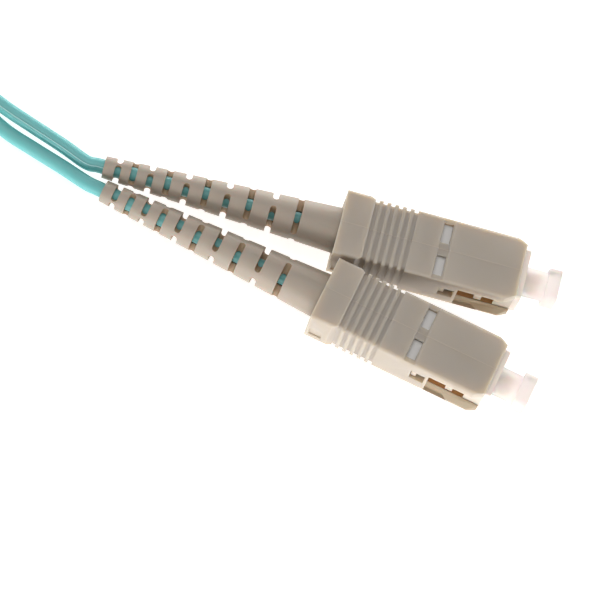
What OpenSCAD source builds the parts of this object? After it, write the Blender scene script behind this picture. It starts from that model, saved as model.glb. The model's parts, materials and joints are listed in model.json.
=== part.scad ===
// Duplex fibre optic patch cord: two push-pull plugs with 2.5 mm ferrules on each end of a
// two-leg zip cord. Millimetres, +Z up, standing on z = 0.
// Every plug is drawn along +X, with x = 0 on the back face of its housing and its axis on z = 0.

/* [Housing] */
// Length of the sliding outer housing
housing_len = 25; // [24:0.5:27]
// Width of the housing across its broad face
housing_w = 9.0; // [8.9:0.05:9.1]
// Height of the housing
housing_h = 7.4; // [7.35:0.05:7.5]
// Radius of the housing's long edges
housing_edge_r = 0.45; // [0.3:0.05:0.6]
// Thickness of the housing's broad walls
broad_wall = 0.75; // [0.7:0.05:0.8]
// Thickness of the housing's side walls
side_wall = 0.9; // [0.85:0.05:1.0]
// Length of the plain block at the back of the housing
block_len = 3.9; // [3.6:0.1:4.3]
// How far the block stands proud of the rest of the housing
block_proud = 0.15; // [0.1:0.05:0.2]
// Number of finger ribs in front of the block
rib_count = 5; // [3:1:5]
// Length of one finger rib
rib_len = 0.5; // [0.4:0.05:0.55]
// Gap between two finger ribs
rib_gap = 0.57; // [0.5:0.01:0.58]
// Depth of the gaps between the ribs
rib_depth = 0.28; // [0.2:0.02:0.34]
// Length of the slanted corners at the housing's nose
nose_len = 1.4; // [1:0.1:1.8]
// Width of the slanted corners at the housing's nose
nose_slant = 0.75; // [0.4:0.05:0.85]
// Width of the key under the housing
key_w = 2.6; // [2:0.1:3]
// Length of the key
key_len = 7; // [5:0.5:8]
// Height of the key
key_h = 0.65; // [0.5:0.05:0.8]

/* [Housing windows] */
// Distance from the nose to the back edge of the channel across the broad faces
channel_reach = 11.6; // [11.4:0.1:11.8]
// Length of the channel
channel_len = 1.65; // [1.5:0.05:1.8]
// Depth of the channel
channel_depth = 0.18; // [0.1:0.02:0.25]
// Width of the bridge between the two windows in the channel
bridge_w = 1.8; // [1.4:0.1:2.2]
// Width of each window in the channel
mark_w = 2.85; // [2.4:0.05:2.95]
// Length of each window in the channel
mark_len = 1.25; // [1.1:0.05:1.4]
// Length of the latch pocket seen through the slot in the housing's sides
latch_len = 5.2; // [4.8:0.1:5.3]
// Height of that slot, which is open at the nose
latch_h = 4.2; // [3.8:0.1:4.4]
// How far the slot's lower lip slants down to the outer face
lip_drop = 1.05; // [0.8:0.05:1.1]
// Length of the small retaining window behind the slot
retain_len = 2.05; // [2:0.05:2.1]
// Height of the retaining window
retain_h = 2.6; // [2.4:0.1:3.2]
// Depth of the cam recess under the back of the slot
cam_depth = 0.5; // [0.3:0.05:0.6]

/* [Plug frame] */
// Clearance between the plug frame and the housing on each side
slide_gap = 0.12; // [0.1:0.01:0.15]
// How far the plug frame's nose stands out of the housing
nose_out = 0.8; // [0.5:0.1:1.2]
// Diameter of the plug frame's cavities
cavity_d = 4.7; // [4.6:0.05:4.8]
// Travel of the housing when it is pulled back
pull_travel = 1.2; // [0.8:0.1:1.2]

/* [Ferrule] */
// Diameter of the ferrule
ferrule_d = 2.5; // [2.4:0.05:2.5]
// Length of the ferrule
ferrule_len = 10.5; // [10.5:0.5:11.5]
// How far the ferrule's tip stands out of the plug frame
ferrule_out = 1.8; // [1.4:0.1:2]
// Travel of the ferrule against its spring
float_travel = 0.8; // [0.5:0.1:0.8]
// Diameter of the spring's wire
wire_d = 0.4; // [0.3:0.05:0.45]
// Number of turns of the spring
spring_turns = 6; // [4:1:7]

/* [Dust cap] */
// Outer diameter of the dust cap's tube
cap_d = 4.0; // [3.6:0.1:4.1]
// Width of the cap's square grip
cap_grip_w = 4.6; // [4.3:0.1:4.8]
// Length of the cap's grip
cap_grip_len = 1.8; // [1.4:0.1:2.2]

/* [Boot] */
// Length of the boot behind the housing
boot_len = 32.2; // [31:0.1:34]
// Diameter of the boot where it meets the housing
boot_d = 6.3; // [6:0.1:6.4]
// Diameter of the boot at the cord
boot_tip_d = 3.0; // [2.9:0.1:3.2]
// Number of slotted stations along the boot
slot_count = 10; // [6:1:10]
// Width of each slot
slot_w = 0.85; // [0.7:0.05:0.95]
// Distance between the first two stations
slot_pitch = 2.15; // [2:0.05:2.15]
// Growth of that distance from one station to the next
slot_growth = 1.06; // [1.03:0.01:1.06]

/* [Cord] */
// Diameter of one leg of the cord
leg_d = 2.0; // [1.8:0.1:2]
// Diameter of the buffered fibre
fibre_d = 0.9; // [0.8:0.05:0.9]

/* [Layout] */
// Distance between the two plugs of a pair at their back faces
pair_gap = 9.5; // [9.5:0.1:11]
// Angle that each plug of a pair turns away from the other
splay = 5.6; // [5:0.1:5.6]

/* [Hidden] */
$fn = 48;

beige = [0.72, 0.66, 0.58];
warm_white = [0.93, 0.9, 0.87];
ceramic = [0.96, 0.96, 0.94];
metal = [0.72, 0.73, 0.75];
aqua = [0.28, 0.68, 0.68];

cut = 1;                                 // how far a cutter runs past a face
seat_gap = 0.02;                         // clearance between pieces that are pressed together

// housing
block_w = housing_w + 2 * block_proud;
block_h = housing_h + 2 * block_proud;
block_slant = 0.45;                      // slanted corners at the block's front
block_slant_len = 0.75;
room_w = housing_w - 2 * side_wall;      // the housing's inside
room_h = housing_h - 2 * broad_wall;
ribs_end = block_len + rib_gap + rib_count * (rib_len + rib_gap);
boot_room_d = boot_d + 0.5;              // counterbore in the housing's back for the boot
boot_room_len = 2.0;
channel_at = housing_len - channel_reach;
retain_at = housing_len - 10;
latch_at = retain_at + retain_len + 0.4; // back end of the side slot
latch_end = latch_at + latch_len;
cam_flat = 2.05;                         // length of the cam recess before it curves away
cam_len = 3.85;
cam_steps = 8;
cam_rim = 0.4;                           // wall left under the cam recess

// plug frame
frame_w = room_w - 2 * slide_gap;
frame_h = room_h - 2 * slide_gap;
frame_back = 3.5;
frame_front = housing_len + nose_out;
shoulder_at = frame_front - 8.55;
shoulder_len = 1.15;
lug_len = retain_len - pull_travel - 0.15;
lug_proud = 0.6;
catch_depth = 0.7;
catch_rim = 0.48;                        // wall left above and below the latch pocket
stud_at = latch_at + 2.55;               // stud that stands in the pocket
stud_len = 1;

// ferrule, holder and spring
ferrule_tip = frame_front + ferrule_out;
ferrule_back = ferrule_tip - ferrule_len;
flange_front = shoulder_at - 0.05;
flange_len = 1.1;
flange_back = flange_front - flange_len;
flange_d = cavity_d - 0.3;
cup_front = flange_front + 2.3;
cup_d = 3.3;
tail_d = 2.3;
spring_back = shoulder_at - 6.25;
tail_back = spring_back - 2.6;
spring_r = (tail_d + wire_d) / 2 + 0.25;

// back body, crimp sleeve and boot
post_back = -2.6;
post_d = 3.2;
collar_back = 2.4;
collar_d = 5.5;
sleeve_d = 3.9;
neck_back = -4.5;
bare_back = neck_back - 6;                // where the jacket closes on the buffered fibre
boot_bore_d = leg_d + 0.3;
boot_base_d = 5.4;
boot_cone_end = 0.35;
slot_first = 1.9;
bridge_share = 0.36;                     // half the bridge's height as a share of the boot's radius

// layout
axis_z = housing_h / 2 + key_h;          // height of a plug's axis above the floor
stagger = 1.1;                           // how far one plug of the near pair lies ahead
origin_x = 0.22;                         // middle of the near pair, from its caps to its boots
far_x = -76;                             // the far pair lies across the coil
far_y = -14.3;

function boot_radius(s) = (boot_d + (boot_tip_d - boot_d) * (boot_cone_end - s)
    / (boot_cone_end + boot_len)) / 2;
function slot_at(i) = -boot_len + slot_first
    + slot_pitch * (pow(slot_growth, i) - 1) / (slot_growth - 1);

// ---------------------------------------------------------------- shared shapes

// a rod along X
module rod(from, to, d, d_to = 0) {
    translate([from, 0, 0]) rotate([0, 90, 0])
        cylinder(h = to - from, d1 = d, d2 = d_to > 0 ? d_to : d);
}

corner_steps = 4;
function rounded(w, h, r) = [
    for (q = [0:3]) for (k = [0:corner_steps])
        let (a = 90 * q + 90 * k / corner_steps,
             sx = q == 0 || q == 3 ? 1 : -1,
             sy = q < 2 ? 1 : -1)
            [sx * (w / 2 - r) + r * cos(a), sy * (h / 2 - r) + r * sin(a)]
];

// a bar along X with rounded long edges
module bar(from, to, w, h, r) {
    translate([from, 0, 0]) rotate([90, 0, 90])
        linear_extrude(to - from) polygon(rounded(w, h, r));
}

module block(from, to, y0, y1, z0, z1) {
    translate([from, y0, z0]) cube([to - from, y1 - y0, z1 - z0]);
}

module both_sides() {
    children();
    mirror([0, 1, 0]) children();
}

module top_and_bottom() {
    children();
    mirror([0, 0, 1]) children();
}

// ---------------------------------------------------------------- outer housing

module housing_body() {
    valley_w = housing_w - 2 * rib_depth;
    valley_h = housing_h - 2 * rib_depth;
    intersection() {
        bar(0, block_len, block_w, block_h, housing_edge_r);
        translate([0, 0, -housing_h]) linear_extrude(2 * housing_h) block_plan();
    }
    bar(block_len - 0.5, ribs_end + 0.5, valley_w, valley_h, housing_edge_r);
    for (i = [0:rib_count - 1])
        let (at = block_len + rib_gap + i * (rib_len + rib_gap))
            bar(at, at + rib_len, housing_w, housing_h, housing_edge_r);
    intersection() {
        bar(ribs_end, housing_len, housing_w, housing_h, housing_edge_r);
        translate([0, 0, -housing_h]) linear_extrude(2 * housing_h) nose_plan();
    }
    block(ribs_end - 0.1, ribs_end - 0.1 + key_len, -key_w / 2, key_w / 2,
        -housing_h / 2 - key_h, -housing_h / 2 + broad_wall / 2);
}

module block_plan() {
    half = block_w / 2;
    polygon([
        [-cut, -half], [block_len - block_slant_len, -half],
        [block_len, block_slant - half], [block_len, half - block_slant],
        [block_len - block_slant_len, half], [-cut, half]
    ]);
}

module nose_plan() {
    half = housing_w / 2;
    polygon([
        [ribs_end - cut, -half], [housing_len - nose_len, -half],
        [housing_len, nose_slant - half], [housing_len, half - nose_slant],
        [housing_len - nose_len, half], [ribs_end - cut, half]
    ]);
}

// lower lip of the side slot: slants from the inner face down to the outer one
module lip_slant() {
    reach = 0.5;
    translate([latch_at, 0, 0]) rotate([90, 0, 90]) linear_extrude(housing_len + cut - latch_at)
        polygon([
            [room_w / 2, latch_h / 2 - 0.2], [room_w / 2, latch_h / 2],
            [housing_w / 2 + reach, latch_h / 2 + lip_drop * (1 + reach / side_wall)],
            [housing_w / 2 + reach, latch_h / 2 - 0.2]
        ]);
}

module cam_recess() {
    low = latch_h / 2 + lip_drop * (side_wall - cam_depth) / side_wall;
    high = housing_h / 2 - cam_rim;
    translate([0, housing_w / 2 - cam_depth, 0]) rotate([90, 0, 0]) mirror([0, 0, 1])
        linear_extrude(cam_depth + cut) polygon(concat(
            [[latch_at, latch_h / 2 - 0.2], [latch_at + cam_flat, latch_h / 2 - 0.2]],
            [for (i = [0:cam_steps]) let (t = i / cam_steps)
                [latch_at + cam_flat + (cam_len - cam_flat) * t,
                    low + (high - low) * t * t * (3 - 2 * t)]],
            [[latch_at, high]]
        ));
}

module outer_housing() {
    color(beige) difference() {
        housing_body();
        bar(-cut, housing_len + cut, room_w, room_h, 0.35);
        rod(-cut, boot_room_len, boot_room_d);
        top_and_bottom() {
            both_sides() block(channel_at, channel_at + channel_len, key_w / 2, housing_w,
                housing_h / 2 - channel_depth, housing_h);
            both_sides() block(channel_at + 0.15, channel_at + 0.15 + mark_len,
                key_w / 2 - 0.4, bridge_w / 2 + mark_w, room_h / 2 - 0.1, housing_h / 2 + 0.02);
        }
        block(channel_at, channel_at + channel_len, -key_w / 2 - cut, key_w / 2 + cut,
            housing_h / 2 - channel_depth, housing_h);
        both_sides() {
            block(retain_at, retain_at + retain_len, room_w / 2 - 0.1, housing_w,
                -retain_h / 2, retain_h / 2);
            block(latch_at, housing_len + cut, room_w / 2 - 0.1, housing_w,
                -latch_h / 2, latch_h / 2);
            mirror([0, 0, 1]) {
                lip_slant();
                cam_recess();
            }
            block(0.5, 2.3, room_w / 2 - 0.1, housing_w, -2.6, -0.2);
        }
    }
}

// ---------------------------------------------------------------- plug frame

module plug_frame() {
    pocket = frame_h / 2 - catch_rim;
    color(beige) difference() {
        union() {
            bar(frame_back, frame_front, frame_w, frame_h, 0.3);
            both_sides() block(retain_at + 0.1, retain_at + 0.1 + lug_len, frame_w / 2 - 0.3,
                frame_w / 2 + lug_proud, 0.15 - retain_h / 2, retain_h / 2 - 0.15);
        }
        rod(frame_back - cut, shoulder_at, cavity_d);
        rod(shoulder_at - cut, shoulder_at + shoulder_len + cut, cup_d + 0.3);
        rod(shoulder_at + shoulder_len, frame_front + cut, cavity_d);
        both_sides() difference() {
            block(latch_at + 0.05, latch_end, frame_w / 2 - catch_depth, frame_w,
                -pocket, pocket);
            block(stud_at, stud_at + stud_len, 0, frame_w / 2, 0.35 - pocket, pocket - 0.35);
        }
    }
}

// ---------------------------------------------------------------- ferrule and what carries it

module ferrule() {
    tip_chamfer = 0.35;
    color(ceramic) {
        rod(ferrule_back, ferrule_tip - tip_chamfer, ferrule_d);
        rod(ferrule_tip - tip_chamfer, ferrule_tip, ferrule_d, ferrule_d - 2 * tip_chamfer);
    }
}

module ferrule_holder() {
    color(metal) difference() {
        union() {
            rod(tail_back, flange_back + 0.2, tail_d);
            rod(flange_back, flange_front, flange_d);
            rod(flange_front - 0.2, cup_front, cup_d);
        }
        rod(ferrule_back - seat_gap, cup_front + cut, ferrule_d + 2 * seat_gap);
        rod(tail_back - cut, ferrule_back + cut, fibre_d + 0.2);
    }
}

// rings of points swept into one closed tube
module tube(rings) {
    n = len(rings[0]);
    m = len(rings);
    points = [for (ring = rings) for (p = ring) p];
    polyhedron(points = points, convexity = 8, faces = concat(
        [for (k = [1:n - 2]) [0, k + 1, k]],
        [for (i = [0:m - 2]) for (k = [0:n - 1])
            let (a = i * n + k, b = i * n + (k + 1) % n) [a, b, b + n]],
        [for (i = [0:m - 2]) for (k = [0:n - 1])
            let (a = i * n + k, b = i * n + (k + 1) % n) [a, b + n, a + n]],
        [for (k = [1:n - 2]) [(m - 1) * n, (m - 1) * n + k, (m - 1) * n + k + 1]]
    ));
}

spring_sides = 6;
curl_rings = 8;
module spring() {
    front = flange_back - 0.03;
    steps = spring_turns * curl_rings;
    run = front - spring_back - wire_d - 0.03;
    color(metal) tube([
        for (i = [0:steps])
            let (turn = 360 * i / curl_rings,
                 x = spring_back + 0.03 + wire_d / 2 + run * i / steps)
                [for (k = [0:spring_sides - 1])
                    let (a = 360 * k / spring_sides, r = spring_r + wire_d / 2 * cos(a))
                        [x + wire_d / 2 * sin(a), r * cos(turn), r * sin(turn)]]
    ]);
}

// ---------------------------------------------------------------- behind the plug frame

module back_body() {
    color(metal) difference() {
        union() {
            rod(frame_back - 0.2, spring_back, cavity_d - 2 * seat_gap);
            rod(collar_back, frame_back - seat_gap, collar_d);
            rod(post_back, collar_back + 0.2, post_d);
        }
        rod(tail_back - float_travel - 0.4, spring_back + cut, tail_d + 0.2);
        rod(post_back - cut, tail_back, fibre_d + 0.8);
        for (i = [0:2]) difference() {
            rod(post_back + 0.7 + i, post_back + 1.1 + i, post_d + cut);
            rod(post_back, collar_back, post_d - 0.3);
        }
    }
}

module crimp_sleeve() {
    color(metal) difference() {
        union() {
            rod(post_back - 0.2, collar_back - seat_gap, sleeve_d);
            rod(post_back - 0.9, post_back - 0.2, leg_d + 0.7, sleeve_d);
            rod(neck_back, post_back - 0.9, leg_d + 0.7);
        }
        rod(post_back - 0.1, collar_back + cut, post_d + 2 * seat_gap);
        rod(neck_back - cut, post_back, leg_d + 2 * seat_gap);
    }
}

module fibre() {
    color(warm_white) rod(bare_back, ferrule_back - float_travel - 0.2, fibre_d);
}

module jacket() {
    color(aqua) difference() {
        rod(-boot_len, post_back - 0.15, leg_d);
        rod(bare_back - seat_gap, post_back, fibre_d + 2 * seat_gap);
    }
}

// two blades with round edges that leave a bridge on each side of the bore
module slot_pair(s) {
    depth = bridge_share * boot_radius(s);
    translate([s, 0, 0]) top_and_bottom() {
        translate([-slot_w / 2, -boot_d, depth]) cube([slot_w, 2 * boot_d, boot_d]);
        translate([0, 0, depth]) rotate([90, 0, 0])
            cylinder(h = 2 * boot_d, d = slot_w, center = true, $fn = 24);
    }
}

module boot() {
    sleeve_room = sleeve_d + 0.1;
    color(beige) difference() {
        union() {
            rod(-boot_len, boot_cone_end, boot_tip_d, boot_d);
            rod(boot_cone_end - 0.2, collar_back - seat_gap, boot_base_d);
        }
        rod(-boot_len - cut, neck_back, boot_bore_d);
        rod(neck_back - seat_gap, collar_back + cut, sleeve_room);
        for (i = [0:slot_count - 1]) rotate([90 * ((i + 1) % 2), 0, 0]) slot_pair(slot_at(i));
    }
}

// ---------------------------------------------------------------- dust cap

module dust_cap() {
    back = cup_front + float_travel + 0.3;
    grip_at = ferrule_tip + 1.2;
    color(warm_white) difference() {
        union() {
            rod(back, grip_at + 0.5, cap_d);
            bar(grip_at, grip_at + cap_grip_len, cap_grip_w, cap_grip_w - 0.4, 0.8);
        }
        rod(back - cut, ferrule_tip + 0.4, ferrule_d + 0.06);
    }
}

// ---------------------------------------------------------------- layout

// near pair: a and b; far pair: c and d, the same pair lying on the coil
module at_plug(name) {
    side = side_of(name);
    translate(pair_place(name) + [side < 0 ? stagger : 0, side * pair_gap / 2, 0])
        rotate([0, 0, side * splay]) children();
}

module rolled_boot(name) {
    rotate([name == "a" || name == "c" ? -12 : 52, 0, 0]) boot();
}

function side_of(name) = name == "a" || name == "c" ? 1 : -1;
function pair_place(name) = name == "c" || name == "d" ? far_place : [origin_x, 0, axis_z];

// point at the end of a plug's boot, or on its line a little further back
function cord_exit(name, back = 0) =
    let (s = side_of(name), yaw = s * splay)
        pair_place(name) + [(s < 0 ? stagger : 0) - (boot_len + back) * cos(yaw),
            s * pair_gap / 2 - (boot_len + back) * sin(yaw), 0];

// ---------------------------------------------------------------- cords

function unit(v) = v / norm(v);

// Catmull-Rom curve through hand-set points
function curve(p, steps) = concat(
    [for (i = [0:len(p) - 2]) for (k = [0:steps - 1])
        let (t = k / steps,
             a = p[max(i - 1, 0)], b = p[i], c = p[i + 1], d = p[min(i + 2, len(p) - 1)])
            0.5 * (2 * b + t * (c - a) + t * t * (2 * a - 5 * b + 4 * c - d)
                + t * t * t * (3 * b - a - 3 * c + d))],
    [p[len(p) - 1]]
);

function run_length(p) = len(p) < 2 ? 0
    : let (steps = [for (i = [1:len(p) - 1]) norm(p[i] - p[i - 1])]) steps * [for (s = steps) 1];

// rings square to a path; flat > 1 makes the section taller than it is wide
function swept(p, outline) = [
    for (i = [0:len(p) - 1])
        let (t = unit(p[min(i + 1, len(p) - 1)] - p[max(i - 1, 0)]),
             side = unit(cross([0, 0, 1], t)), up = cross(t, side))
            [for (q = outline) p[i] + q[0] * side + q[1] * up]
];

leg_sides = 8;
leg_outline = [for (k = [0:leg_sides - 1]) let (a = 360 * (k + 0.5) / leg_sides)
    leg_d / 2 / cos(180 / leg_sides) * 0.96 * [cos(a), sin(a)]];

// the two legs on edge, one above the other, with the web's waist between them
zip_h = 2 * leg_d + 0.1;
zip_z = zip_h / 2 + 0.02;                 // height of its middle where it lies on the floor
zip_outline = [
    [leg_d / 2, -leg_d / 2], [leg_d / 2, leg_d / 2 + 0.05],
    [0.28 * leg_d, zip_h / 2], [-0.28 * leg_d, zip_h / 2],
    [-leg_d / 2, leg_d / 2], [-leg_d / 2, -leg_d / 2],
    [-0.28 * leg_d, -zip_h / 2], [0.28 * leg_d, -zip_h / 2]
];

split_near = [-66, 10.5, zip_z];         // middle of the zip cord where the near legs join it
split_far = [-105.5, 4.6, 4.4];          // and where it splits again
far_run = unit([-2.5, -1.4, -0.9]);      // its direction there
far_up = cross(far_run, unit(cross([0, 0, 1], far_run)));
web_h = 0.1;
leg_step = (leg_d + web_h) / 2;          // height of a leg above or below the middle of the pair
end_run = 1;
function near_leg(side, on = 0) = split_near + [on, 0, side * leg_step];
function far_leg(side, on = 0) = split_far + side * leg_step * far_up + on * far_run;

coil_rise = 4.6;                         // height of one layer of the coil
rest_gap = 0.03;                         // clearance between the coil and the plugs on it
far_place = [far_x, far_y, zip_z + coil_rise + zip_h / 2 + rest_gap + axis_z];

// each leg runs straight for its first and last end_run, square to the faces it meets
leg_a_points = [
    cord_exit("a"), cord_exit("a", end_run), cord_exit("a", 2.5), [-38, 2.45, 4.2],
    [-42.7, 3.65, 4], [-47.3, 4.85, 3.9], [-52, 6.6, 3.7], [-57, 9, 3.5], [-61.5, 10.3, 3.2],
    near_leg(1, end_run), near_leg(1)
];
leg_b_points = [
    cord_exit("b"), cord_exit("b", end_run), cord_exit("b", 2.5), [-37, -0.3, 3.9],
    [-41.6, 0.8, 3.6], [-46.2, 2.1, 3.1], [-51, 4.6, 2.2], [-56, 7.9, 1.3], [-61, 10, 1.03],
    near_leg(-1, end_run), near_leg(-1)
];
leg_c_points = [
    cord_exit("c"), cord_exit("c", end_run), cord_exit("c", 2.5), [-113.8, -11.3, 11.4],
    [-116.1, -8.4, 8], [-116.9, -4.7, 4.6], [-115.4, -1.1, 3.1], [-112.6, 1.2, 3.4],
    [-109, 3, 4.4], far_leg(1, end_run), far_leg(1)
];
leg_d_points = [
    cord_exit("d"), cord_exit("d", end_run), cord_exit("d", 2.5), [-112.8, -15, 12.2],
    [-116, -12.6, 9.4], [-118.3, -8.8, 5.4], [-118.6, -4.4, 2.2], [-116.6, -0.5, 1.1],
    [-112.8, 2, 1.2], [-109, 3.5, 2.1], far_leg(-1, end_run), far_leg(-1)
];

module leg(points) {
    last = len(points) - 1;
    path = concat([points[0]], curve([for (i = [1:last - 1]) points[i]], 3), [points[last]]);
    echo(leg_length = run_length(path));
    color(aqua) tube(swept(path, leg_outline));
}

// coil: spirals in on the lower layer, climbs where it reverses, spirals out on the upper one
coil_centre = [-84, -14.3];
coil_r = 24.5;
coil_pitch = 2.5;                        // radial step of one turn
coil_turns = 6;
coil_climb = 0.3;                        // share of a turn in which it climbs
coil_dip = 0.75;                        // how far it draws in there, clear of both layers
coil_rings = 24;

function coil_point(turn) =
    let (u = abs(turn - coil_turns / 2),
         dip = u < 0.3 ? coil_dip / 2 * (1 + cos(180 * u / 0.3)) : 0,
         r = coil_r - coil_pitch * (coil_turns / 2 - u) - dip,
         up = min(max((turn - coil_turns / 2) / coil_climb + 0.5, 0), 1),
         a = 90 + 360 * turn)
        [coil_centre[0] + r * cos(a), coil_centre[1] + r * sin(a),
         zip_z + coil_rise * up * up * (3 - 2 * up)];

zip_in_points = [
    split_near, [-69, split_near[1], zip_z], [-75, 10.4, zip_z],
    [-80, 10.25, zip_z], [coil_centre[0], coil_centre[1] + coil_r, zip_z]
];
zip_out_points = [
    [coil_centre[0], coil_centre[1] + coil_r, zip_z + coil_rise],
    [-88.5, 10.1, zip_z + coil_rise], [-92.5, 9.6, zip_z + coil_rise],
    [-96.5, 8.6, zip_z + coil_rise], [-100, 7.6, 6.3], split_far - 3 * far_run, split_far
];

zip_path = concat(
    zip_in_points,
    [for (i = [1:coil_turns * coil_rings]) coil_point(i / coil_rings)],
    [for (i = [1:len(zip_out_points) - 1]) zip_out_points[i]]
);

// least gap between turns: from each point to every run of the path that isn't its neighbour
function flat_gap(q, a, b) =
    let (run = b - a, t = min(max((q - a) * run / (run * run), 0), 1), d = q - a - t * run)
        max(norm([d[0], d[1]]) - leg_d, abs(d[2]) - zip_h);
function turn_gap(p, apart = 8) = min([
    for (i = [0:len(p) - 1]) for (j = [0:len(p) - 2])
        if (abs(i - j) > apart) flat_gap(p[i], p[j], p[j + 1])]);

module zip_cord() {
    echo(zip_length = run_length(zip_path), least_gap = turn_gap(zip_path));
    color(aqua) tube(swept(zip_path, zip_outline));
}

// ---------------------------------------------------------------- nodes

for (name = ["a", "b", "c", "d"]) {
    at_plug(name) outer_housing();
    at_plug(name) plug_frame();
    at_plug(name) ferrule();
    at_plug(name) ferrule_holder();
    at_plug(name) spring();
    at_plug(name) back_body();
    at_plug(name) crimp_sleeve();
    at_plug(name) fibre();
    at_plug(name) jacket();
    at_plug(name) rolled_boot(name);
    at_plug(name) dust_cap();
}
leg(leg_a_points);  // leg_a
leg(leg_b_points);  // leg_b
leg(leg_c_points);  // leg_c
leg(leg_d_points);  // leg_d
zip_cord();
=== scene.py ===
"""Dresses the duplex fibre patch cord: soft-edged mouldings, jacketed cords, caps and finishes.

Lengths are in metres. Numbers that are later multiplied by MM are in millimetres, and so are the
spots that the tests on faces get. A plug is worked on in its own place: +X towards its ferrule,
x = 0 on the back face of its housing, and its axis on y = 0, z = 0.
"""
import json
import math

import bmesh
import bpy
from bpy.props import FloatProperty, FloatVectorProperty, IntProperty, PointerProperty
from mathutils import Matrix, Vector


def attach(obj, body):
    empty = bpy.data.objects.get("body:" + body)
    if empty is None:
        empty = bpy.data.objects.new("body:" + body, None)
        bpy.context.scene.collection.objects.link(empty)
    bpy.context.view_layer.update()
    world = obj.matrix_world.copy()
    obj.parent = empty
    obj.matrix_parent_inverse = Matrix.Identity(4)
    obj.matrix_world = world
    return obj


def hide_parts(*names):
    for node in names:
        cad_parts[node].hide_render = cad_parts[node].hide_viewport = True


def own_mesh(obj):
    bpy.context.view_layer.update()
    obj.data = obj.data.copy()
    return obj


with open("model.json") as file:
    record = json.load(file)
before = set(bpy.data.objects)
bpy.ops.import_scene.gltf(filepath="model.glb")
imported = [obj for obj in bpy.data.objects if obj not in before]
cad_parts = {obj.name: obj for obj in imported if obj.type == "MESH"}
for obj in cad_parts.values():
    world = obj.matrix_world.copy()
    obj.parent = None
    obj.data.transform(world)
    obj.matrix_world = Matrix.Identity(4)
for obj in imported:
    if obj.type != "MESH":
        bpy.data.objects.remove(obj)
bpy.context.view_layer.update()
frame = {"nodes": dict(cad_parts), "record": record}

bl_info = {
    "name": "Fibre Patch Cord",
    "version": (1, 0, 0),
    "blender": (4, 5, 0),
    "location": "3D View > Sidebar > Patch Cord",
    "description": "Duplex fibre patch cord with push-pull plugs, boots, dust caps and zip cord",
    "category": "Add Mesh",
}

MM = 0.001
PLUGS = ("a", "b", "c", "d")

# Stations along a plug's axis, in millimetres.
BOOT_BACK, HOUSING_FRONT, FRAME_FRONT = -32.2, 25, 25.8


# ---------------------------------------------------------------- places

def axes_matrix(x, y, z, origin):
    """The place with these axes and this origin."""
    made = Matrix((x, y, z)).transposed().to_4x4()
    made.translation = origin
    return made


def find_plugs():
    """Each plug's place: the record's adapter mount sits at the front of its plug frame."""
    places = {}
    for mount in frame["record"]["mounts"]:
        if mount["name"].startswith("adapter_plug_"):
            ahead = Vector(mount["axis"]).normalized()
            across = Vector((0, 0, 1)).cross(ahead)
            start = Vector(mount["pos_m"]) - FRAME_FRONT * MM * ahead
            places[mount["name"][-1]] = axes_matrix(ahead, across, (0, 0, 1), start)
    return places


PLACE = find_plugs()


def boot_exit(plug, back=0.0):
    """Point where a cord leaves its boot, or a little further back."""
    return PLACE[plug] @ Vector(((BOOT_BACK - back) * MM, 0, 0))


# ---------------------------------------------------------------- settings

def colour_setting(name, description, default):
    return FloatVectorProperty(name=name, description=description, subtype="COLOR", size=3,
                               default=default, min=0, max=1)


def length_setting(name, description, default, **limits):
    return FloatProperty(name=name, description=description, default=default, precision=5,
                         unit="LENGTH", **limits)


class PatchCordMouldings(bpy.types.PropertyGroup):
    """Sizes and colours of the plugs, boots and caps"""
    edge: length_setting("Edge Softness", "Radius left on the housings' edges", 0.07 * MM,
                         min=0.02 * MM, max=0.1 * MM)
    line_width: length_setting("Mould Line Width", "Width of the mould line", 0.1 * MM, min=0)
    line_height: length_setting("Mould Line Height", "How far the mould line stands proud",
                                0.05 * MM, min=0)
    wire: length_setting("Spring Wire", "Diameter of the springs' wire", 0.4 * MM,
                         min=0.2 * MM, max=0.45 * MM)
    mark_height: length_setting("Mark Thickness", "Thickness of the white marks on the plug frame",
                                0.05 * MM, min=0)
    plastic: colour_setting("Housing Plastic", "Colour of the housings", (0.47, 0.405, 0.335))
    core: colour_setting("Frame Plastic", "Colour of the plug frames", (0.66, 0.59, 0.50))
    # Painted shade: the slopes below the side slots get a darker, warmer copy of the housing
    # plastic.
    lip: colour_setting("Slot Lip", "Colour of the side slots' slopes", (0.40, 0.31, 0.20))
    boot: colour_setting("Boot Rubber", "Colour of the boots", (0.435, 0.365, 0.295))
    # Painted light: the frames' front ends get a paler copy of the frame plastic.
    nose: colour_setting("Frame Nose", "Colour of the frames' front ends", (0.86, 0.80, 0.72))
    mark: colour_setting("Window Mark", "Colour of the marks", (0.80, 0.785, 0.765))
    # Painted shade: the latch pockets get a warm brown for their shadow and for the light glowing
    # through the plastic.
    pocket: colour_setting("Latch Pocket", "Colour inside the side slots", (0.56, 0.33, 0.14))
    # Painted shade: the walls inside the boots' slots get a darker brown.
    slot: colour_setting("Boot Slot", "Colour inside the boots' slots", (0.38, 0.27, 0.17))
    cap: colour_setting("Dust Cap", "Colour of the dust caps", (0.93, 0.87, 0.84))


class PatchCordCords(bpy.types.PropertyGroup):
    """Sizes and colour of the cords"""
    leg: length_setting("Leg Diameter", "Diameter of one leg of the cord", 2.0 * MM,
                        min=1.6 * MM, max=2.1 * MM)
    spacing: length_setting("Leg Spacing", "Distance between the zip cord's legs", 2.1 * MM,
                            min=1.9 * MM)
    web: length_setting("Web Thickness", "Thickness of the web between the legs", 0.5 * MM, min=0)
    seam: length_setting("Torn Seam", "Height of the seam left on a split leg", 0.045 * MM, min=0)
    sides: IntProperty(name="Sides", description="Faces round one leg", default=28, min=12)
    jacket: colour_setting("Jacket", "Colour of the cord's jacket", (0.16, 0.51, 0.505))


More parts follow.
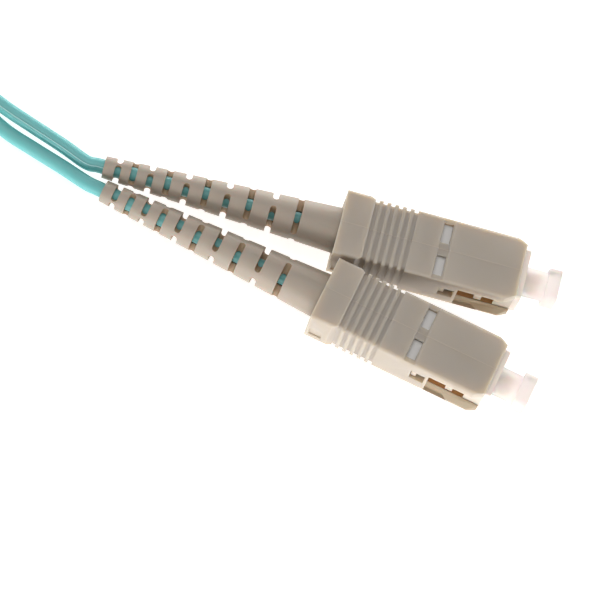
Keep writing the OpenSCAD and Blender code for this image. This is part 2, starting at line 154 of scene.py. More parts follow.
class PatchCordStage(bpy.types.PropertyGroup):
    """Camera, floor and light"""
    elevation: FloatProperty(name="Elevation", description="Camera's height above the horizon",
                             subtype="ANGLE", default=math.radians(70))
    azimuth: FloatProperty(name="Azimuth", description="Camera's turn round the object",
                           subtype="ANGLE", default=math.radians(0.284))
    roll: FloatProperty(name="Roll", description="Camera's turn about its own axis",
                        subtype="ANGLE", default=math.radians(20.2))
    distance: FloatProperty(name="Distance", description="From the camera to the plugs",
                            default=0.4, min=0.1, unit="LENGTH")
    view: length_setting("Field", "Width of the view at the plugs", 79.465 * MM, min=0.01)
    aim: FloatVectorProperty(name="Aim", description="Point in the middle of the view",
                             subtype="TRANSLATION", size=3,
                             default=(-1.158 * MM, -6.356 * MM, 4.35 * MM))
    floor: colour_setting("Floor", "Colour of the floor", (0.86, 0.86, 0.86))
    rim: FloatProperty(name="Side Light", description="Level of the low lamps round the sides",
                       default=0.7, min=0)
    top: FloatProperty(name="Top Light", description="Level of the lamp overhead",
                       default=0.33, min=0)
    table: FloatProperty(name="Table Light", description="Level of the lamp that lies below",
                         default=1.0, min=0)
    fill: FloatProperty(name="Fill Light", description="Level of the even light all round",
                        default=0.28, min=0)


class PatchCordSettings(bpy.types.PropertyGroup):
    """Everything that can be set on the patch cord"""
    mouldings: PointerProperty(type=PatchCordMouldings)
    cords: PointerProperty(type=PatchCordCords)
    stage: PointerProperty(type=PatchCordStage)


# ---------------------------------------------------------------- node building

def add_node(tree, kind, inputs=None, **settings):
    """Adds a node; inputs maps a socket's name or number to a value or to another's output."""
    node = tree.nodes.new(kind)
    for name, value in settings.items():
        setattr(node, name, value)
    for key, value in (inputs or {}).items():
        socket = node.inputs[key]
        if isinstance(value, bpy.types.NodeSocket):
            tree.links.new(value, socket)
        else:
            socket.default_value = value
    return node


def new_tree(name, kind, inputs, outputs):
    """A node group with named sockets; returns it with its input node and output node."""
    tree = bpy.data.node_groups.new(name, kind)
    for label, socket, value in inputs:
        made = tree.interface.new_socket(label, in_out="INPUT", socket_type=socket)
        if value is not None:
            made.default_value = value
    for label, socket in outputs:
        tree.interface.new_socket(label, in_out="OUTPUT", socket_type=socket)
    return tree, tree.nodes.new("NodeGroupInput"), tree.nodes.new("NodeGroupOutput")


def maths(tree, operation, a, b=0.0, c=0.0):
    return add_node(tree, "ShaderNodeMath", {0: a, 1: b, 2: c}, operation=operation).outputs[0]


def mixed(tree, factor, a, b, blend="MIX"):
    """Mixes two colours."""
    return add_node(tree, "ShaderNodeMix", {0: factor, 6: a, 7: b}, data_type="RGBA",
                    blend_type=blend, clamp_factor=True).outputs[2]


def spread(tree, value, low, high, to_low=0.0, to_high=1.0):
    """Maps a range of values to another, smoothly."""
    return add_node(tree, "ShaderNodeMapRange", {
        "Value": value, "From Min": low, "From Max": high, "To Min": to_low, "To Max": to_high},
        interpolation_type="SMOOTHSTEP").outputs[0]


def realised(tree, shape, material, smooth=True):
    """Shades a shape, makes its instances real and sets its material."""
    shaded = add_node(tree, "GeometryNodeSetShadeSmooth", {
        "Geometry": shape, "Shade Smooth": smooth}).outputs[0]
    real = add_node(tree, "GeometryNodeRealizeInstances", {"Geometry": shaded}).outputs[0]
    return add_node(tree, "GeometryNodeSetMaterial", {
        "Geometry": real, "Material": material}).outputs[0]


# ---------------------------------------------------------------- finishes

# The skin's scales, the share of cells without a speck, and a speck's reach in its cell.
SLOW_SCALE, FINE_SCALE, CELL_SCALE = 260.0, 9000.0, 330.0
CLEAN_SHARE, SPECK_REACH, SPECK_COLOUR = 0.86, (0.045, 0.085), (0.09, 0.075, 0.06, 1)


def skin_group():
    """Moulded plastic's skin: slow tone changes, fine sparkle, specks and a satin grain."""
    tree, inp, out = new_tree("Moulded Skin", "ShaderNodeTree", (
        ("Vector", "NodeSocketVector", None), ("Colour", "NodeSocketColor", (0.5, 0.5, 0.5, 1)),
        ("Mottle", "NodeSocketFloat", 0.06), ("Specks", "NodeSocketFloat", 0.0),
        ("Roughness", "NodeSocketFloat", 0.4), ("Grain Depth", "NodeSocketFloat", 0.1)), (
        ("Colour", "NodeSocketColor"), ("Roughness", "NodeSocketFloat"),
        ("Normal", "NodeSocketVector")))
    where = inp.outputs["Vector"]
    slow = add_node(tree, "ShaderNodeTexNoise", {
        "Vector": where, "Scale": SLOW_SCALE, "Detail": 3.0})
    fine = add_node(tree, "ShaderNodeTexNoise", {
        "Vector": where, "Scale": FINE_SCALE, "Detail": 2.0})
    cloud = maths(tree, "SUBTRACT", slow.outputs[0], 0.5)
    tone = maths(tree, "MULTIPLY_ADD", cloud, inp.outputs["Mottle"], 1.0)
    lit = mixed(tree, 1.0, inp.outputs["Colour"],
                add_node(tree, "ShaderNodeCombineColor",
                         {0: tone, 1: tone, 2: maths(tree, "POWER", tone, 1.25)}).outputs[0],
                "MULTIPLY")
    cells = add_node(tree, "ShaderNodeTexVoronoi", {
        "Vector": where, "Scale": CELL_SCALE, "Randomness": 1.0})
    chosen = maths(tree, "GREATER_THAN",
                   add_node(tree, "ShaderNodeSeparateColor",
                            {0: cells.outputs["Color"]}).outputs[0], CLEAN_SHARE)
    ragged = maths(tree, "MULTIPLY", fine.outputs[0], 0.05)
    near = spread(tree, maths(tree, "ADD", cells.outputs["Distance"], ragged), *SPECK_REACH,
                  1.0, 0.0)
    dot = maths(tree, "MULTIPLY", maths(tree, "MULTIPLY", chosen, near), inp.outputs["Specks"])
    colour = mixed(tree, dot, lit, SPECK_COLOUR)
    tree.links.new(colour, out.inputs["Colour"])
    rough = maths(tree, "ADD", inp.outputs["Roughness"],
                  maths(tree, "MULTIPLY", maths(tree, "SUBTRACT", fine.outputs[0], 0.5), 0.12))
    tree.links.new(rough, out.inputs["Roughness"])
    height = maths(tree, "ADD", maths(tree, "MULTIPLY", fine.outputs[0], 0.35), slow.outputs[0])
    bump = add_node(tree, "ShaderNodeBump", {"Strength": inp.outputs["Grain Depth"],
                                             "Distance": 0.03 * MM, "Height": height})
    tree.links.new(bump.outputs[0], out.inputs["Normal"])
    return tree


# Each finish: its colour, or the setting that holds it; its roughness; and its other values.
FINISHES = {
    "Aqua Jacket": ("cords.jacket", 0.4, dict(
        mottle=0.1, depth=0.15, drawn=True, Subsurface_Weight=0.6, Subsurface_Scale=1.2 * MM,
        Subsurface_Radius=(0.6, 1.0, 1.0))),
    "Torn Seam": ("cords.jacket", 0.45, dict(tint=0.9, lift=0.3, mottle=0.05)),
    # Painted shade: the jackets' ends inside the boots get a darker copy of the jacket.
    "Aqua Jacket End": ("cords.jacket", 0.4, dict(tint=0.85, mottle=0.1)),
    "Beige Housing Plastic": ("mouldings.plastic", 0.42, dict(
        mottle=0.05, specks=0.9, depth=0.1, Subsurface_Weight=0.7, Subsurface_Scale=2.5 * MM,
        Subsurface_Radius=(1.0, 0.8, 0.5))),
    # Painted highlight: the housing plastic made lighter for the mould lines' glint, and painted
    # light on the pocket floors.
    "Mould Line": ("mouldings.plastic", 0.4, dict(tint=1.13, mottle=0.05)),
    # Painted shade on the slopes and recesses below the side slots.
    "Slot Lip": ("mouldings.lip", 0.45, dict(
        specks=0.6, Subsurface_Weight=0.2, Subsurface_Scale=0.6 * MM)),
    "Frame Plastic": ("mouldings.core", 0.4, dict(
        mottle=0.05, specks=0.4, depth=0.1, Subsurface_Weight=0.3, Subsurface_Scale=0.6 * MM)),
    # Painted light on the frames' front ends.
    "Frame Nose": ("mouldings.nose", 0.4, dict(
        mottle=0.05, specks=0.4, depth=0.1, Subsurface_Weight=0.3, Subsurface_Scale=0.6 * MM)),
    # Painted shade and painted glow inside the latch pockets.
    "Latch Pocket": ("mouldings.pocket", 0.45, dict(
        mottle=0.1, specks=0.5, depth=0.1, Subsurface_Weight=0.2, Subsurface_Scale=0.6 * MM)),
    "White Window Mark": ("mouldings.mark", 0.5, dict(mottle=0.04, depth=0.1)),
    "Beige Boot Rubber": ("mouldings.boot", 0.52, dict(
        mottle=0.08, specks=0.9, depth=0.16, Subsurface_Weight=0.3, Subsurface_Scale=0.8 * MM)),
    # Painted shade inside the boots' slots.
    "Boot Slot": ("mouldings.slot", 0.6, dict(
        mottle=0.12, depth=0.16, Subsurface_Weight=0.2, Subsurface_Scale=0.6 * MM)),
    "Milky Cap": ("mouldings.cap", 0.32, dict(
        mottle=0.04, depth=0.1, Transmission_Weight=0.7, IOR=1.2, Subsurface_Weight=0.6,
        Subsurface_Scale=1.5 * MM)),
    "Spring Steel": ((0.50, 0.50, 0.51), 0.28, dict(mottle=0.1, depth=0.1, Metallic=1.0)),
    "White Zirconia": ((0.86, 0.85, 0.82), 0.16, dict(mottle=0.02, depth=0.03)),
    "Nickel Plate": ((0.60, 0.585, 0.55), 0.3, dict(mottle=0.08, depth=0.1, Metallic=1.0)),
    "Fibre Buffer": ((0.85, 0.83, 0.78), 0.4, dict(mottle=0.04)),
}


def finish_material(name, colour, roughness, tint=1.0, lift=0.0, mottle=0.06, specks=0.0,
                    depth=0.12, drawn=False, **shader):
    """A Principled shader fed by the moulded skin, which can be drawn out along a cord."""
    material = bpy.data.materials.new(name)
    material.use_nodes = True
    tree = material.node_tree
    principled = next(n for n in tree.nodes if n.type == "BSDF_PRINCIPLED")
    if drawn:
        lay = add_node(tree, "ShaderNodeAttribute", attribute_name="lay").outputs["Vector"]
        where = add_node(tree, "ShaderNodeMapping",
                         {"Vector": lay, "Scale": (0.03, 1, 1)}).outputs[0]
    else:
        where = add_node(tree, "ShaderNodeTexCoord").outputs["Object"]
    skin = add_node(tree, "ShaderNodeGroup", {
        "Vector": where, "Colour": (*(lift + tint * c for c in colour), 1.0), "Mottle": mottle,
        "Specks": specks, "Roughness": roughness, "Grain Depth": depth},
        node_tree=bpy.data.node_groups.get("Moulded Skin") or skin_group())
    for label, socket in (("Colour", "Base Color"), ("Roughness", "Roughness"),
                          ("Normal", "Normal")):
        tree.links.new(skin.outputs[label], principled.inputs[socket])
    for key, value in shader.items():
        principled.inputs[key.replace("_", " ")].default_value = value
    return material


def finish_named(name):
    """A material of FINISHES, made when it is first asked for."""
    made = bpy.data.materials.get(name)
    if made:
        return made
    colour, roughness, values = FINISHES[name]
    if isinstance(colour, str):
        group, setting = colour.split(".")
        colour = getattr(getattr(bpy.context.scene.patch_cord, group), setting)
    return finish_material(name, colour, roughness, **values)


# ---------------------------------------------------------------- shared shapes

# How near corners are merged, the angle up to which faces are joined, the angle from which edges
# are rounded, and the angle from which what is left is shaded as sharp.
MERGE = 2e-6
FLAT_ANGLE, ROUND_ANGLE, SHARP_ANGLE = map(math.radians, (0.6, 28, 40))


def link(obj):
    bpy.context.scene.collection.objects.link(obj)
    return obj


def plain_mesh(obj):
    """Replaces an object's modifiers by the mesh that they give."""
    bpy.context.view_layer.update()
    evaluated = obj.evaluated_get(bpy.context.evaluated_depsgraph_get())
    mesh = bpy.data.meshes.new_from_object(evaluated)
    mesh.name = obj.name
    old = obj.data
    obj.modifiers.clear()
    obj.data = mesh
    bpy.data.meshes.remove(old)
    return obj


def softened(node, name, edge, material, steps=2):
    """A copy of a CAD node with its moulded edges rounded."""
    work = bmesh.new()
    work.from_mesh(frame["nodes"][node].data)
    bmesh.ops.remove_doubles(work, verts=work.verts, dist=MERGE)
    bmesh.ops.dissolve_limit(work, angle_limit=FLAT_ANGLE, verts=work.verts, edges=work.edges)
    bmesh.ops.connect_verts_concave(work, faces=work.faces[:])
    mesh = bpy.data.meshes.new(name)
    work.to_mesh(mesh)
    work.free()
    obj = link(bpy.data.objects.new(name, mesh))
    mesh.materials.append(material)
    bevel = obj.modifiers.new("Edges", "BEVEL")
    bevel.width, bevel.segments = edge, steps
    bevel.limit_method, bevel.angle_limit = "ANGLE", ROUND_ANGLE
    bevel.miter_outer = "MITER_ARC"
    bevel.use_clamp_overlap = True
    plain_mesh(obj)
    obj.data.shade_smooth()
    obj.data.set_sharp_from_angle(angle=SHARP_ANGLE)
    return obj


def painted(obj, place, material, inside):
    """Gives a material to the faces whose middle and normal, in the place's axes, pass a test."""
    mesh = obj.data
    mesh.materials.append(material)
    back = place.inverted()
    turn = back.to_3x3()
    for face in mesh.polygons:
        if inside(back @ face.center / MM, turn @ face.normal):
            face.material_index = len(mesh.materials) - 1
    return obj


def stand_in(obj, body, slot, *nodes):
    """Rides on a body and hides the CAD nodes that it stands for; its slot is not used."""
    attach(obj, body)
    if nodes:
        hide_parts(*nodes)
    return obj


def give_material(node, material):
    """Puts a finish on a CAD node that is shown as it is."""
    data = frame["nodes"][node].data
    data.materials.clear()
    data.materials.append(material)


def set_input(modifier, name, value):
    """Sets a Geometry Nodes input by its socket's identifier."""
    for item in modifier.node_group.interface.items_tree:
        if item.item_type == "SOCKET" and item.in_out == "INPUT" and item.name == name:
            modifier[item.identifier] = value
            return
    raise RuntimeError("no input named " + name)


def grown(name, points, tree, values):
    """Grows a Geometry Nodes tree along a line of points and keeps the plain mesh."""
    mesh = bpy.data.meshes.new(name)
    mesh.from_pydata([tuple(p) for p in points], [(i, i + 1) for i in range(len(points) - 1)], [])
    obj = link(bpy.data.objects.new(name, mesh))
    modifier = obj.modifiers.new("Shape", "NODES")
    modifier.node_group = tree
    for key, value in values.items():
        set_input(modifier, key, value)
    return plain_mesh(obj)


# ---------------------------------------------------------------- routes of the cords

def curve(points, steps):
    """Catmull-Rom curve through given points."""
    out = []
    for i in range(len(points) - 1):
        a, b = points[max(i - 1, 0)], points[i]
        c, d = points[i + 1], points[min(i + 2, len(points) - 1)]
        for k in range(steps):
            t = k / steps
            out.append(0.5 * (2 * b + t * (c - a) + t * t * (2 * a - 5 * b + 4 * c - d)
                              + t ** 3 * (3 * b - a - 3 * c + d)))
    return out + [points[-1]]


def millimetres(*points):
    return [Vector(p) * MM for p in points]


# The zip cord lies on edge: its height, and the height of its middle over the floor.
ZIP_H = 4.1
ZIP_Z = ZIP_H / 2 + 0.02

# The points where the legs part, with the zip cord's run and its upper side at the far one.
SPLIT_NEAR, SPLIT_FAR = Vector((-66, 10.5, ZIP_Z)), Vector((-105.5, 4.6, 4.4))
FAR_RUN = Vector((-2.5, -1.4, -0.9)).normalized()
FAR_UP = FAR_RUN.cross(Vector((0, 0, 1)).cross(FAR_RUN).normalized())

# A leg's distance from the zip cord's middle, the straight run at an end of a cord, and the
# point behind a boot from which a leg bends freely.
SPLIT_STEP, END_RUN, BOOT_RUN = 1.05, 1.0, 2.5

# The angle of each leg's torn seam, in radians, and the steps between two given points.
LEG_SEAM = {"a": 2.6, "b": 1.0, "c": 2.6, "d": 1.0}
LEG_SMOOTHING, ZIP_SMOOTHING = 8, 3

LEG_POINTS = {
    "a": ((-38, 2.45, 4.2), (-42.7, 3.65, 4), (-47.3, 4.85, 3.9), (-52, 6.6, 3.7), (-57, 9, 3.5),
          (-61.5, 10.3, 3.2)),
    "b": ((-37, -0.3, 3.9), (-41.6, 0.8, 3.6), (-46.2, 2.1, 3.1), (-51, 4.6, 2.2),
          (-56, 7.9, 1.3), (-61, 10, 1.03)),
    "c": ((-113.8, -11.3, 11.4), (-116.1, -8.4, 8), (-116.9, -4.7, 4.6), (-115.4, -1.1, 3.1),
          (-112.6, 1.2, 3.4), (-109, 3, 4.4)),
    "d": ((-112.8, -15, 12.2), (-116, -12.6, 9.4), (-118.3, -8.8, 5.4), (-118.6, -4.4, 2.2),
          (-116.6, -0.5, 1.1), (-112.8, 2, 1.2), (-109, 3.5, 2.1)),
}


def split_point(name, back=0.0):
    """Where a leg joins the zip cord, or a little before that."""
    side = 1 if name in "ac" else -1
    if name in "ab":
        return SPLIT_NEAR + Vector((back, 0, side * SPLIT_STEP))
    return SPLIT_FAR + side * SPLIT_STEP * FAR_UP + back * FAR_RUN


def leg_route(name):
    """A leg's middle line, from its boot to the split."""
    hand = [boot_exit(name, END_RUN), boot_exit(name, BOOT_RUN)] + millimetres(
        *LEG_POINTS[name], split_point(name, END_RUN))
    return [boot_exit(name)] + curve(hand, LEG_SMOOTHING) + millimetres(split_point(name))


# The coil winds inwards on the floor and outwards again on top of that: its middle, its outer
# radius, the distance between turns, the rise to the upper layer, the turns in all, the turns
# that the climb takes, how far the climb dips inwards, over how many turns on either side, and
# the points to a turn.
COIL_CENTRE, COIL_R, COIL_PITCH, COIL_RISE = (-84, -14.3), 24.5, 2.5, 4.6
COIL_TURNS, COIL_CLIMB, COIL_DIP, DIP_TURNS, COIL_RINGS = 6, 0.3, 0.75, 0.3, 48


def coil_point(turn):
    """The coil's middle line after some turns, in millimetres."""
    u = abs(turn - COIL_TURNS / 2)
    dip = COIL_DIP / 2 * (1 + math.cos(math.pi * u / DIP_TURNS)) if u < DIP_TURNS else 0
    r = COIL_R - COIL_PITCH * (COIL_TURNS / 2 - u) - dip
    up = min(max((turn - COIL_TURNS / 2) / COIL_CLIMB + 0.5, 0), 1)
    a = math.radians(90) + math.tau * turn
    return (COIL_CENTRE[0] + r * math.cos(a), COIL_CENTRE[1] + r * math.sin(a),
            ZIP_Z + COIL_RISE * up * up * (3 - 2 * up))


def zip_route():
    """The zip cord's middle line, from the near split through the coil to the far split."""
    lead_in = curve(millimetres(
        SPLIT_NEAR, (-69, 10.5, ZIP_Z), (-75, 10.4, ZIP_Z), (-80, 10.25, ZIP_Z),
        (COIL_CENTRE[0], COIL_CENTRE[1] + COIL_R, ZIP_Z)), ZIP_SMOOTHING)
    coil = millimetres(*(coil_point(i / COIL_RINGS)
                         for i in range(1, COIL_TURNS * COIL_RINGS + 1)))
    lead_out = curve(millimetres(
        (COIL_CENTRE[0], COIL_CENTRE[1] + COIL_R, ZIP_Z + COIL_RISE),
        (-88.5, 10.1, ZIP_Z + COIL_RISE), (-92.5, 9.6, ZIP_Z + COIL_RISE),
        (-96.5, 8.6, ZIP_Z + COIL_RISE), (-100, 7.6, 6.3), SPLIT_FAR - 3 * FAR_RUN,
        SPLIT_FAR - END_RUN * FAR_RUN), ZIP_SMOOTHING)
    return lead_in + coil + lead_out[1:] + millimetres(SPLIT_FAR)


def cord_tree():
    """Sweeps round legs, the web between them and a torn seam along a line."""
    tree, inp, out = new_tree("Jacketed Cord", "GeometryNodeTree", (
        ("Geometry", "NodeSocketGeometry", None), ("Leg Diameter", "NodeSocketFloat", 2 * MM),
        ("Leg Spacing", "NodeSocketFloat", 0.0), ("Web Thickness", "NodeSocketFloat", 0.0),
        ("Seam Height", "NodeSocketFloat", 0.0), ("Seam Angle", "NodeSocketFloat", 0.0),
        ("Sides", "NodeSocketInt", 28), ("Material", "NodeSocketMaterial", None),
        ("Seam Material", "NodeSocketMaterial", None)), (("Geometry", "NodeSocketGeometry"),))
    socket = inp.outputs
    radius = maths(tree, "MULTIPLY", socket["Leg Diameter"], 0.5)
    half = maths(tree, "MULTIPLY", socket["Leg Spacing"], 0.5)
    ring = add_node(tree, "GeometryNodeCurvePrimitiveCircle",
                    {"Resolution": socket["Sides"], "Radius": radius}, mode="RADIUS").outputs[0]

    def moved(shape, y=0.0, turn=None):
        inputs = {"Geometry": shape, "Translation": add_node(
            tree, "ShaderNodeCombineXYZ", {1: y}).outputs[0]}
        if turn is not None:
            inputs["Rotation"] = add_node(tree, "ShaderNodeCombineXYZ", {2: turn}).outputs[0]
        return add_node(tree, "GeometryNodeTransform", inputs).outputs[0]

    def joined(*shapes):
        node = add_node(tree, "GeometryNodeJoinGeometry")
        for shape in shapes:
            tree.links.new(shape, node.inputs[0])
        return node.outputs[0]

    def captured(shape, kind, name, value):
        node = add_node(tree, "GeometryNodeCaptureAttribute", {0: shape})
        node.capture_items.new(kind, name)
        tree.links.new(value, node.inputs[1])
        return node.outputs

    upper = moved(ring, half)
    lower = moved(ring, maths(tree, "MULTIPLY", half, -1.0))
    web = add_node(tree, "GeometryNodeCurvePrimitiveQuadrilateral",
                   {"Width": socket["Web Thickness"],
                    "Height": socket["Leg Spacing"]}).outputs[0]
    seam = add_node(tree, "GeometryNodeCurvePrimitiveQuadrilateral", {
        "Width": maths(tree, "MULTIPLY", socket["Seam Height"], 3.0),
        "Height": maths(tree, "MULTIPLY", socket["Seam Height"], 2.0)}).outputs[0]
    seam = moved(moved(seam, radius), turn=socket["Seam Angle"])
    has_web = maths(tree, "GREATER_THAN", socket["Leg Spacing"], 1e-6)
    section = add_node(tree, "GeometryNodeSwitch", {
        "Switch": has_web, "False": joined(seam, ring), "True": joined(web, lower, upper)},
        input_type="GEOMETRY").outputs[0]
    line = add_node(tree, "GeometryNodeMeshToCurve", {"Mesh": socket["Geometry"]}).outputs[0]
    upright = add_node(tree, "GeometryNodeSetCurveNormal", {"Curve": line}, mode="Z_UP").outputs[0]
    run = captured(upright, "FLOAT", "along",
                   add_node(tree, "GeometryNodeSplineParameter").outputs["Length"])
    profile = captured(section, "VECTOR", "spot",
                       add_node(tree, "GeometryNodeInputPosition").outputs[0])
    swept = add_node(tree, "GeometryNodeCurveToMesh", {
        "Curve": run[0], "Profile Curve": profile[0], "Fill Caps": True})
    parts = add_node(tree, "ShaderNodeSeparateXYZ", {0: profile[1]})
    lay = add_node(tree, "ShaderNodeCombineXYZ", {
        0: run[1], 1: parts.outputs[0], 2: parts.outputs[1]}).outputs[0]
    stored = add_node(tree, "GeometryNodeStoreNamedAttribute", {
        "Geometry": swept.outputs[0], "Name": "lay", "Value": lay}, data_type="FLOAT_VECTOR",
        domain="POINT").outputs[0]
    reach = add_node(tree, "ShaderNodeVectorMath", {0: profile[1]},
                     operation="LENGTH").outputs["Value"]
    proud = maths(tree, "GREATER_THAN", reach, maths(tree, "MULTIPLY", radius, 1.01))
    alone = maths(tree, "SUBTRACT", 1.0, has_web)
    torn = add_node(tree, "GeometryNodeSetMaterial", {
        "Geometry": realised(tree, stored, socket["Material"]),
        "Selection": maths(tree, "MULTIPLY", proud, alone), "Material": socket["Seam Material"]})
    tree.links.new(torn.outputs[0], out.inputs[0])
    return tree


class PATCHCORD_OT_cords(bpy.types.Operator):
    """Sweep the four split legs and the coiled zip cord"""
    bl_idname = "patchcord.cords"
    bl_label = "Cords"

    def execute(self, context):
        settings = context.scene.patch_cord.cords
        tree = cord_tree()
        common = {"Leg Diameter": settings.leg, "Sides": settings.sides,
                  "Material": finish_named("Aqua Jacket"),
                  "Seam Material": finish_named("Torn Seam")}
        for name in PLUGS:
            leg = grown("split_leg_" + name, leg_route(name), tree, {
                **common, "Seam Height": settings.seam, "Seam Angle": LEG_SEAM[name]})
            stand_in(leg, "root", "aqua_jacket", "leg_" + name)
        pair = grown("coiled_zip_cord", zip_route(), tree, {
            **common, "Leg Spacing": settings.spacing, "Web Thickness": settings.web})
        stand_in(pair, "root", "aqua_jacket", "zip_cord")
        return {"FINISHED"}


class PATCHCORD_OT_cord_facts(bpy.types.Operator):
    bl_idname = "patchcord.cord_facts"
    bl_label = "Cord Lengths"

    def execute(self, context):
        return {"FINISHED"}


# ---------------------------------------------------------------- mouldings

# What is rounded off the edges of frames, boots and caps; a housing's edges have a setting.
FRAME_EDGE, BOOT_EDGE, CAP_EDGE = 0.05 * MM, 0.08 * MM, 0.2 * MM

# Mould lines: side, direction and start; then where they end, and the height they drop from.
LINE_RUNS = (("top", 1, 0.1), ("bottom", -1, 17.2))
LINE_END, LINE_DROP = 24.9, 4.6

# Floor plates of the pockets in a housing's back block, in a lighter plastic of painted light:
# middle, size, corner and thickness.
FLOOR_SPOT, FLOOR_SIZE = (1.4 * MM, 4.2 * MM, -1.4 * MM), (2.0 * MM, 2.6 * MM)
FLOOR_CORNER, FLOOR_THICKNESS = 0.1 * MM, 0.2 * MM

# White marks on a plug frame's upper and lower sides: middle, size and corner.
MARK_SPOT, MARK_SIZE = (14.17 * MM, 2.32 * MM, 2.82 * MM), (1.24 * MM, 2.85 * MM)
MARK_CORNER = 0.12 * MM

# A boot's outer cone: its start, its run, its width there and how much it narrows; and how far
# under it a slot's walls begin, which get painted shade.
CONE_START, CONE_RUN, CONE_WIDTH, CONE_TAPER, SLOT_SHADE_DEPTH = 0.35, 32.55, 6.3, 3.3, 0.12

# The springs: start, run and radius of the wire's middle line, turns, steps to a turn, travel.
SPRING_START, SPRING_RUN, SPRING_R = 11.23, 4.64, 1.6
SPRING_TURNS, SPRING_STEPS, SPRING_TRAVEL = 6, 24, 0.8


def line_tree():
    """Drops a line onto a surface and sweeps a section along, its lower half in the surface."""
    tree, inp, out = new_tree("Mould Line", "GeometryNodeTree", (
        ("Geometry", "NodeSocketGeometry", None), ("Surface", "NodeSocketObject", None),
        ("Down", "NodeSocketVector", (0, 0, -1)), ("Width", "NodeSocketFloat", 0.13 * MM),
        ("Height", "NodeSocketFloat", 0.05 * MM), ("Step", "NodeSocketFloat", 0.06 * MM),
        ("Material", "NodeSocketMaterial", None)), (("Geometry", "NodeSocketGeometry"),))
    socket = inp.outputs
    line = add_node(tree, "GeometryNodeMeshToCurve", {"Mesh": socket["Geometry"]}).outputs[0]
    fine = add_node(tree, "GeometryNodeResampleCurve", {"Curve": line, "Length": socket["Step"]},
                    mode="LENGTH").outputs[0]
    surface = add_node(tree, "GeometryNodeObjectInfo", {"Object": socket["Surface"]},
                       transform_space="ORIGINAL").outputs["Geometry"]
    hit = add_node(tree, "GeometryNodeRaycast", {
        "Target Geometry": surface, "Ray Direction": socket["Down"], "Ray Length": 5 * MM})
    laid = add_node(tree, "GeometryNodeSetPosition", {
        "Geometry": fine, "Selection": hit.outputs["Is Hit"],
        "Position": hit.outputs["Hit Position"]}).outputs[0]
    upright = add_node(tree, "GeometryNodeSetCurveNormal", {"Curve": laid}, mode="Z_UP").outputs[0]
    section = add_node(tree, "GeometryNodeCurvePrimitiveQuadrilateral", {
        "Bottom Width": socket["Width"],
        "Top Width": maths(tree, "MULTIPLY", socket["Width"], 0.45),
        "Height": maths(tree, "MULTIPLY", socket["Height"], 2.0), "Offset": 0.0},
        mode="TRAPEZOID").outputs[0]
    swept = add_node(tree, "GeometryNodeCurveToMesh", {
        "Curve": upright, "Profile Curve": section, "Fill Caps": True}).outputs[0]
    tree.links.new(realised(tree, swept, socket["Material"], smooth=False), out.inputs[0])
    return tree


def rounded_plate(name, place, size, corner, thickness, material):
    """A thin plate with rounded corners, its underside's middle at the place's origin."""
    ring = []
    for quarter, (sx, sy) in enumerate(((1, 1), (-1, 1), (-1, -1), (1, -1))):
        for k in range(5):
            a = math.radians(90 * quarter + 22.5 * k)
            ring.append((sx * (size[0] / 2 - corner) + corner * math.cos(a),
                         sy * (size[1] / 2 - corner) + corner * math.sin(a)))
    count = len(ring)
    spots = [tuple(place @ Vector((x, y, z))) for z in (0, thickness) for x, y in ring]
    faces = [tuple(reversed(range(count))), tuple(range(count, 2 * count))]
    for i in range(count):
        after = (i + 1) % count
        faces.append((i, after, count + after, count + i))
    mesh = bpy.data.meshes.new(name)
    mesh.from_pydata(spots, [], faces)
    mesh.materials.append(material)
    return link(bpy.data.objects.new(name, mesh))


def cut_across(obj, place, x):
    """Cuts an object's faces by a plane across a plug's axis, x metres from its origin."""
    work = bmesh.new()
    work.from_mesh(obj.data)
    bmesh.ops.bisect_plane(work, geom=work.verts[:] + work.edges[:] + work.faces[:],
                           plane_co=place @ Vector((x, 0, 0)),
                           plane_no=place.to_3x3() @ Vector((1, 0, 0)))
    work.to_mesh(obj.data)
    work.free()
    obj.data.set_sharp_from_angle(angle=SHARP_ANGLE)


def on_lip_painted_shade(spot, normal):
    """Faces of the slopes and recesses below the side slots, which get painted shade."""
    return (17.5 < spot.x < 24.95 and 3.55 < abs(spot.y) < 4.47 and -3.4 < spot.z < -2.08
            and abs(normal.x) < 0.9)


class PATCHCORD_OT_housings(bpy.types.Operator):
    """Round the sliding housings' edges and lay their mould lines"""
    bl_idname = "patchcord.housings"
    bl_label = "Housings"

    def execute(self, context):
        settings = context.scene.patch_cord.mouldings
        # A lighter copy of the housing plastic: painted highlight on the mould lines, painted
        # light on the pocket floors.
        painted_light_plastic = finish_named("Mould Line")
        tree = line_tree()
        for name in PLUGS:
            shell = softened("outer_housing_" + name, "housing_shell_" + name, settings.edge,
                             finish_named("Beige Housing Plastic"))
            # Painted shade on the slopes and recesses below the side slots.
            painted(shell, PLACE[name], finish_named("Slot Lip"), on_lip_painted_shade)
            stand_in(shell, "housing_" + name, "beige_plastic", "outer_housing_" + name)
            for number, sign in ((1, 1), (2, -1)):
                spot = Matrix.Translation((FLOOR_SPOT[0], sign * FLOOR_SPOT[1], FLOOR_SPOT[2]))
                turn = Matrix.Rotation(-sign * math.pi / 2, 4, "X")
                floor = rounded_plate("pocket_floor_%s%d" % (name, number),
                                      PLACE[name] @ spot @ turn, FLOOR_SIZE, FLOOR_CORNER,
                                      FLOOR_THICKNESS, painted_light_plastic)
                stand_in(floor, "housing_" + name, "beige_plastic")
            for side, sign, start in LINE_RUNS:
                points = [PLACE[name] @ Vector((x * MM, 0, sign * LINE_DROP * MM))
                          for x in (start, LINE_END)]
                line = grown("mould_line_%s_%s" % (side, name), points, tree, {
                    "Surface": shell, "Down": (0, 0, -sign), "Width": settings.line_width,
                    "Height": settings.line_height, "Material": painted_light_plastic})
                stand_in(line, "housing_" + name, "beige_plastic")
        return {"FINISHED"}


def on_nose(spot, normal):
    """Faces of a plug frame ahead of its housing, which get painted light."""
    return spot.x > HOUSING_FRONT - 0.02


